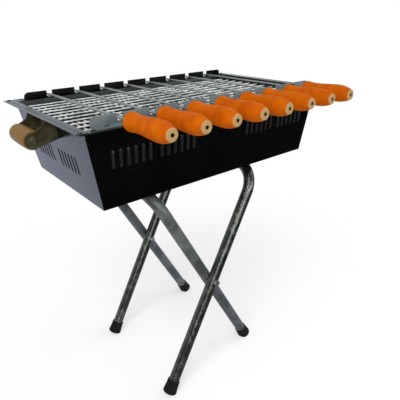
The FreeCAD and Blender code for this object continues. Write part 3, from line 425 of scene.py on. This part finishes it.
def wrapped_chrome(name, cover, veil):
    """Dark chrome tube in a clear film: cover is how much of it is creased, veil how grey the film is.

    A crease follows a helix: noise on a circle whose angle turns with the distance along the tube,
    and that changes slowly along it. Thin lines lie where that noise crosses its middle. Two sets
    of them cross, and loose film hangs over some stretches as a smooth grey veil."""
    material, s = new_material(name)
    place = s.place(uv=True)
    around, along = s.part(place, 0), s.part(place, 1)

    def helix(turns, lines, stretch):
        angle = (around + along * turns) * (2 * math.pi)
        line = s.add("ShaderNodeCombineXYZ", {}, {"X": angle.math("COSINE") * lines,
                                                  "Y": angle.math("SINE") * lines, "Z": along * stretch})
        noise = s.noise(line, 1.0, 2.0, 0.5)
        return s.between((noise - 0.5).math("ABSOLUTE"), 0.0, 0.022, 1.0, 0.0)

    stretch = s.noise(s.add("ShaderNodeCombineXYZ", {}, {"Z": along * 11.0}), 1.0, 3.0, 0.6)
    patch = s.noise(s.place((3.0, 46.0, 1), uv=True), 1.0, 4.0, 0.6, 0.6)
    hanging = s.between(stretch, 0.44, 0.56)
    crease = helix(12.0, 3.6, 26.0).math("MAXIMUM", helix(-7.0, 4.6, 38.0) * 0.7)
    crease = crease.math("MAXIMUM", helix(26.0, 3.0, 60.0) * 0.55)
    streak = crease * s.between(patch, 0.40, 0.60) * cover
    haze = (hanging * 0.4 + 0.6) * veil * s.between(patch, 0.25, 0.6, 0.8, 1.0)
    base = s.mix(haze, (0.050, 0.049, 0.042), (0.120, 0.128, 0.130))
    base = s.mix(streak, base, (0.34, 0.325, 0.26))
    s.principled(Base_Color=base, Roughness=0.14 + haze * 0.45 + streak * 0.2,
                 Metallic=1.0 - haze * 0.8 - streak * 0.15,
                 Normal=s.bump(crease + patch * 0.8, 0.16, 0.0006))
    return material


def bright_steel():
    """Plated steel of rivets, bolts and nuts."""
    material, s = new_material("bright_steel")
    spot = s.noise(s.place(), 180.0, 4.0)
    base = s.mix(spot, (0.22, 0.22, 0.21), (0.48, 0.48, 0.46))
    s.principled(Base_Color=base, Roughness=0.28 + spot * 0.25, Metallic=0.95,
                 Normal=s.bump(spot, 0.1, 0.0003))
    return material


def black_rubber():
    """Moulded rubber, matt and a little dusty."""
    material, s = new_material("black_rubber")
    dust = s.noise(s.place(), 70.0, 5.0, 0.7)
    base = s.mix(s.between(dust, 0.4, 0.75), (0.0020, 0.0021, 0.0018), (0.008, 0.0083, 0.0072))
    s.principled(Base_Color=base, Roughness=0.60 + dust * 0.2, IOR=1.25,
                 Normal=s.bump(s.noise(s.place(), 900.0), 0.2, 0.0004))
    return material


# Skewer handles: profile from the inner end to the nose, in thousandths of a metre

HANDLE_LINE = [(0.0, 12.0), (0.4, 13.6), (1.4, 15.2), (3.2, 16.4), (5.6, 16.8), (8.5, 16.6),
               (14.0, 15.8), (23.0, 15.1), (35.0, 15.0), (48.0, 15.6), (62.0, 16.5), (75.0, 17.1),
               (85.0, 17.3), (93.0, 16.7), (100.0, 15.3), (106.0, 13.4), (110.5, 11.6),
               (113.0, 10.3), (113.8, 9.8), (114.0, 9.2)]
HANDLE_PROFILE = np.vstack([
    smooth_line(HANDLE_LINE, 5),
    [(114.0, 6.0), (114.0, 3.3), (113.7, 2.9), (112.6, 2.5), (106.0, 2.4), (100.0, 2.4)],
]) * MM
HANDLE_ROWS = len(HANDLE_PROFILE) - 1
HANDLE_RADIUS = 17.3 * MM
SKEWER_LEVEL = middle("skewer_handle_1").z
NOSE_START = float(np.argmax(HANDLE_PROFILE[:, 0] > 112.5 * MM)) / HANDLE_ROWS
NOSE_HOLE = (HANDLE_ROWS - 4.0) / HANDLE_ROWS


def skewer_handles(material):
    """Each handle is its profile turned about the skewer's axis, from the inner end to the nose."""
    for number in SKEWERS:
        node = f"skewer_handle_{number}"
        centre = middle(node)
        inner_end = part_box(node)[1].y
        grid = turned(HANDLE_PROFILE, (centre.x, inner_end, centre.z), (0, -1, 0), (1, 0, 0))
        new_piece(f"turned_handle_{number}", [grid], f"skewer_{number}", material, [node])


# Stand

def frame_path():
    """Line of one tube frame in its plane: up one leg, round a bend, along the crossbar and down.

    The points are spread evenly along it, so that the piece's UV measures length."""
    half, drop = FRAME_WIDTH / 2, LEG_LENGTH - FOOT_CUSHION
    turn = np.radians(np.linspace(180, 90, BEND_STEPS))
    bend = np.stack([np.cos(turn), np.sin(turn)], axis=1) * BEND_RADIUS
    left = np.vstack([[(-half, -drop)], bend + (-half + BEND_RADIUS, -BEND_RADIUS)])
    line = np.vstack([left, (left * (-1, 1))[::-1]])
    reach = np.concatenate([[0], np.cumsum(np.linalg.norm(np.diff(line, axis=0), axis=1))])
    even = np.linspace(0, reach[-1], PATH_STEPS)
    return np.stack([np.interp(even, reach, line[:, axis]) for axis in (0, 1)], axis=1)


def tube_frames(finishes):
    """A ring carried along the frame's line, square to it, then leaned about the crossbar."""
    path = frame_path()
    tangent = np.gradient(path, axis=0)
    tangent /= np.linalg.norm(tangent, axis=1)[:, None]
    outward = np.stack([-tangent[:, 1], tangent[:, 0]], axis=1)
    angle = np.linspace(0, 2 * np.pi, 40, endpoint=False)
    across = np.cos(angle)[None, :, None] * outward[:, None, :] * TUBE_RADIUS
    flat = path[:, None, :] + across
    thick = np.broadcast_to(np.sin(angle) * TUBE_RADIUS, flat.shape[:2])
    for side, name in ((1, "right"), (-1, "left")):
        lean = math.radians(LEG_LEAN * side)
        bar_x = pivot_line() + PIVOT_REACH * math.sin(lean)
        bar_z = LEG_LENGTH * math.cos(lean)
        centre_y = middle(f"{name}_frame_crossbar").y
        x = bar_x + thick * math.cos(lean) + flat[:, :, 1] * math.sin(lean)
        z = bar_z - thick * math.sin(lean) + flat[:, :, 1] * math.cos(lean)
        grid = np.stack([x, centre_y + flat[:, :, 0], z], axis=2)
        new_piece(f"{name}_bent_tube", [grid], f"{name}_legs", finishes[f"{name}_tube"],
                  [f"{name}_frame_{run}" for run in ("crossbar", "front_leg", "back_leg")])


def pivot_line():
    """Where the pivots' line lies along the front."""
    return middle("front_pivot_bolt").x


def rubber_feet(material):
    """A flared sleeve turned about the leg, square at its sole, whose lowest part is flat on the floor."""
    rise = np.concatenate([np.linspace(0, 0.10, 6), np.linspace(0.15, 0.85, 10), np.linspace(0.9, 1.0, 7)])
    distance = FOOT_LIFT + (FOOT_HEIGHT - FOOT_LIFT) * rise
    radius = FOOT_TOP + (FOOT_SOLE - FOOT_TOP) * (1 - rise) ** FOOT_FLARE
    radius -= FOOT_ROUND * np.clip(1 - rise / 0.05, 0, 1) ** 2
    radius -= FOOT_ROUND * np.clip((rise - 0.96) / 0.04, 0, 1) ** 2
    profile = np.stack([distance, radius], axis=1)
    for side, name in ((1, "right"), (-1, "left")):
        lean = math.radians(LEG_LEAN * side)
        foot_x = pivot_line() + (PIVOT_REACH - LEG_LENGTH) * math.sin(lean)
        for place in ("front", "back"):
            node = f"{name}_frame_{place}_foot"
            grid = turned(profile, (foot_x, middle(node).y, 0), (math.sin(lean), 0, math.cos(lean)),
                          (0, 1, 0), 56)
            grid[:, :, 2] = np.maximum(grid[:, :, 2], 0.0)
            new_piece(f"{node}_sleeve", [grid], f"{name}_legs", material, [node])


# Grille

def grille(material, sooty):
    """Straight rods side by side, lying on thinner wires that cross them."""
    low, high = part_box("grille_long_rods")
    radius = (high.z - low.z) / 2
    rows = np.linspace(low.y + radius, high.y - radius, ROD_COUNT)
    rods = [rod((low.x, y, low.z + radius), (high.x, y, low.z + radius), radius, 14) for y in rows]
    new_piece("welded_rods", rods, "firebox", material, ["grille_long_rods"])
    low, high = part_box("grille_cross_wires")
    radius = (high.z - low.z) / 2
    columns = np.linspace(low.x + radius, high.x - radius, WIRE_COUNT)
    wires = [rod((x, low.y, low.z + radius), (x, high.y, low.z + radius), radius, 10) for x in columns]
    new_piece("welded_wires", wires, "firebox", sooty, ["grille_cross_wires"])


# Firebox

def hood(centre, up, out):
    """A long rounded bump: rings from its rim to its ridge, each a slot drawn in towards the ridge."""
    turn = np.linspace(0, np.pi, HOOD_TURN)
    half, reach = LOUVRE_LENGTH / 2 - LOUVRE_WIDTH / 2, LOUVRE_WIDTH / 2
    across = np.concatenate([np.cos(turn), -np.cos(turn)])
    bend = np.concatenate([np.sin(turn), -np.sin(turn)])
    ends = np.concatenate([np.full(HOOD_TURN, half), np.full(HOOD_TURN, -half)])
    inward = np.cos(np.linspace(0, HOOD_CROWN * np.pi / 2, HOOD_RINGS))[:, None]
    rise = np.sqrt(1 - inward ** 2) * LOUVRE_RISE
    along = ends + bend * reach * inward
    return (centre + (across * reach * inward)[:, :, None] * np.array((1.0, 0, 0))
            + along[:, :, None] * up + (rise * np.ones(2 * HOOD_TURN))[:, :, None] * out)


def pressed_louvres(material):
    """Rounded hoods over the louvres of both long panels, standing on their sloping walls."""
    tilt = math.atan((MOUTH_WIDTH - FLOOR_WIDTH) / 2 / BOX_DEPTH)
    low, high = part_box("front_panel")[0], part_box("back_panel")[1]
    middle_y = (low.y + high.y) / 2
    height = BOX_DEPTH / math.cos(tilt) - LOUVRE_DROP - LOUVRE_CENTRE
    steps = LOUVRE_FIRST + LOUVRE_PITCH * np.arange(LOUVRES)
    row = np.concatenate([steps, steps + LOUVRE_GROUP])
    for side, name in ((-1, "front"), (1, "back")):
        up = np.array((0, side * math.sin(tilt), math.cos(tilt)))
        out = np.array((0, side * math.cos(tilt), -math.sin(tilt)))
        wall = np.array((0, middle_y + side * FLOOR_WIDTH / 2, low.z)) + up * height
        hoods = [hood(wall + (x, 0, 0), up, out) for x in np.concatenate([-row, row])]
        if side > 0:
            hoods = [points[:, ::-1] for points in hoods]
        new_piece(f"{name}_louvres", hoods, "firebox", material, smooth=80)


def rolled_hems(material):
    """A bead along the outer edge of both long flanges, where the sheet is folded back on itself."""
    beads = []
    for name, side in (("front", -1), ("back", 1)):
        low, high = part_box(f"{name}_panel")
        y = (low.y if side < 0 else high.y) - HEM_RADIUS * side
        z = high.z - SHEET / 2
        beads.append(rod((low.x, y, z), (high.x, y, z), HEM_RADIUS, 16))
    new_piece("rolled_hems", beads, "firebox", material)


# Carry grips

def carry_grips(material):
    """A barrel turned about its bolt: thickest in the middle, with rounded ends."""
    for name in ("left", "right"):
        node = f"{name}_handle_grip"
        low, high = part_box(node)
        centre = middle(node)
        length, crown = high.y - low.y, (high.z - low.z) / 2
        t = np.linspace(0, 1, 33)
        radius = crown - GRIP_CROWN * (2 * t - 1) ** 2
        edge = np.minimum(t, 1 - t) * length
        radius -= GRIP_ROUND * np.clip(1 - edge / GRIP_RIM, 0, 1) ** 2
        profile = np.stack([t * length, radius], axis=1)
        grid = turned(profile, (centre.x, low.y, centre.z), (0, 1, 0), (1, 0, 0), 56)
        new_piece(f"{name}_barrel_grip", [grid], "firebox", material, [node])


# Sheet metal and fasteners kept from the model

def soften(node, sharp=30):
    """Join a node's loose triangles and break its sharp edges."""
    weld = node.modifiers.new("joined", "WELD")
    weld.merge_threshold = JOIN_REACH
    bevel = node.modifiers.new("broken_edges", "BEVEL")
    bevel.width = EDGE_BREAK
    bevel.segments = 2
    bevel.limit_method = "ANGLE"
    bevel.angle_limit = math.radians(sharp)
    bevel.harden_normals = True


def finish_of(node, finishes):
    """The finish of a kept node, by its name."""
    if "pivot" in node:
        return finishes["bright_steel"]
    if node.endswith(("_grate", "_ledge", "_plate")):
        return finishes["sooty_iron"]
    if node.endswith(("_bracket", "_bolt", "_nut")):
        return finishes["oiled_steel"]
    if node.endswith(("_clip", "_hook")):
        return finishes["bright_steel"]
    # The front rail's finish has a painted sheen as its blue-grey colour.
    if node == "front_skewer_rail":
        return finishes["painted_sheen_rail"]
    if node.startswith("skewer_blade"):
        return finishes["skewer_steel"]
    return finishes["black_enamel"]


def dress_kept_nodes(finishes):
    """Give every node that still shows its finish and soft edges."""
    for name, node in NODES.items():
        node.data.materials.clear()
        node.data.materials.append(finish_of(name, finishes))
        soften(node)


# Stage, light and camera

def studio_floor():
    """Pale floor that fades into the white around it; gloss sees it bright behind and dim in front."""
    material, s = new_material("studio_floor")
    place = s.place()
    away = s.add("ShaderNodeVectorMath", {"operation": "LENGTH"}, {0: place}, output="Value")
    light = s.add("ShaderNodeLightPath", output="Is Camera Ray")
    gloss = s.add("ShaderNodeLightPath", output="Is Glossy Ray")
    matt = s.add("ShaderNodeBsdfDiffuse", {}, {"Color": (0.93, 0.93, 0.93, 1)})
    white = s.add("ShaderNodeEmission", {}, {"Color": (1, 1, 1, 1), "Strength": 1.0})
    behind = s.between(s.part(place, 1), -0.7, 0.5, 0.01, 0.95)
    mirror = s.add("ShaderNodeEmission", {}, {"Color": (0.76, 0.82, 1.0, 1), "Strength": behind})
    fade = s.between(away, 0.2, 1.2, 0.45, 1.0)
    seen = s.add("ShaderNodeMixShader", {}, {0: light * fade, 1: matt, 2: white})
    surface = s.add("ShaderNodeMixShader", {}, {0: gloss, 1: seen, 2: mirror})
    s.add("ShaderNodeOutputMaterial", {}, {"Surface": surface})
    half = FLOOR_HALF
    mesh = bpy.data.meshes.new("floor")
    mesh.from_pydata([(-half, -half, 0), (half, -half, 0), (half, half, 0), (-half, half, 0)], [],
                     [(0, 1, 2, 3)])
    mesh.materials.append(material)
    floor = bpy.data.objects.new("floor", mesh)
    bpy.context.scene.collection.objects.link(floor)


def studio_world():
    """White behind the object and soft light on it; gloss sees a cool back and a warm band in front."""
    world = bpy.data.worlds.new("studio")
    bpy.context.scene.world = world
    s = Shader(world)
    direction = s.add("ShaderNodeTexCoord", output="Generated")
    camera = s.add("ShaderNodeLightPath", output="Is Camera Ray")
    gloss = s.add("ShaderNodeLightPath", output="Is Glossy Ray")
    depth, level = s.part(direction, 1), s.part(direction, 2)
    behind = s.between(depth, -0.35, 0.45, 0.02, 0.85)
    above = s.between(level, 0.35, 0.9, 0.0, 0.75)
    ahead = s.between(depth, -0.5, -0.8) * s.between(level, -0.02, 0.06) * s.between(level, 0.5, 0.28)
    mirror = behind.math("MAXIMUM", above) + ahead * 6.0
    strength = camera + gloss * mirror + (1 - camera) * (1 - gloss) * 0.62
    tint = s.mix(ahead, (0.84, 0.92, 1.0), (0.86, 0.98, 1.0))
    tint = s.mix(gloss, (1.0, 1.0, 1.0), tint)
    sky = s.add("ShaderNodeBackground", {}, {"Color": tint, "Strength": strength})
    s.add("ShaderNodeOutputWorld", {}, {"Surface": sky})


def lamp(name, spot, target, size, power):
    """A square soft light aimed at a point."""
    data = bpy.data.lights.new(name, "AREA")
    data.shape = "SQUARE"
    data.size = size
    data.energy = power
    light = bpy.data.objects.new(name, data)
    light.location = spot
    light.rotation_euler = (Vector(target) - Vector(spot)).to_track_quat("-Z", "Y").to_euler()
    bpy.context.scene.collection.objects.link(light)


def camera():
    """The photograph's viewpoint: where it stands, which way it looks and how it is rolled."""
    yaw, pitch, roll = CAMERA_YAW, CAMERA_PITCH, CAMERA_ROLL
    forward = Vector((math.sin(yaw) * math.cos(pitch), math.cos(yaw) * math.cos(pitch), -math.sin(pitch)))
    right = Vector((math.cos(yaw), -math.sin(yaw), 0))
    up = right.cross(forward)
    across = right * math.cos(roll) + up * math.sin(roll)
    upright = up * math.cos(roll) - right * math.sin(roll)
    turn = Matrix((across, upright, -forward)).transposed().to_4x4()
    data = bpy.data.cameras.new("camera")
    data.sensor_width = SENSOR
    data.lens = FOCAL_PIXELS / PHOTO_PIXELS * SENSOR
    view = bpy.data.objects.new("camera", data)
    view.matrix_world = Matrix.Translation(CAMERA_SPOT) @ turn
    bpy.context.scene.collection.objects.link(view)
    bpy.context.scene.camera = view


def main():
    scene = bpy.context.scene
    scene.view_settings.view_transform = "Standard"
    camera()
    studio_world()
    studio_floor()
    for name, (spot, size, power) in LAMPS.items():
        lamp(name, spot, LAMP_TARGET, size, power)
    finishes = {"bright_steel": bright_steel(), "oiled_steel": oiled_steel(),
                "skewer_steel": skewer_steel(), "black_enamel": black_enamel(),
                "sooty_iron": sooty_iron(), "painted_sheen_rail": painted_sheen_rail()}
    dress_kept_nodes(finishes)
    skewer_handles(orange_handle())
    tube_frames({"right_tube": wrapped_chrome("creased_chrome", 0.75, 0.2),
                 "left_tube": wrapped_chrome("veiled_chrome", 0.35, 0.95)})
    rubber_feet(black_rubber())
    grille(zinc_wire("zinc_wire", 0.12, 0.55), zinc_wire("smoked_wire", 0.96, 0.05))
    carry_grips(amber_wood())
    pressed_louvres(ridge_highlight_enamel())
    rolled_hems(finishes["black_enamel"])


main()
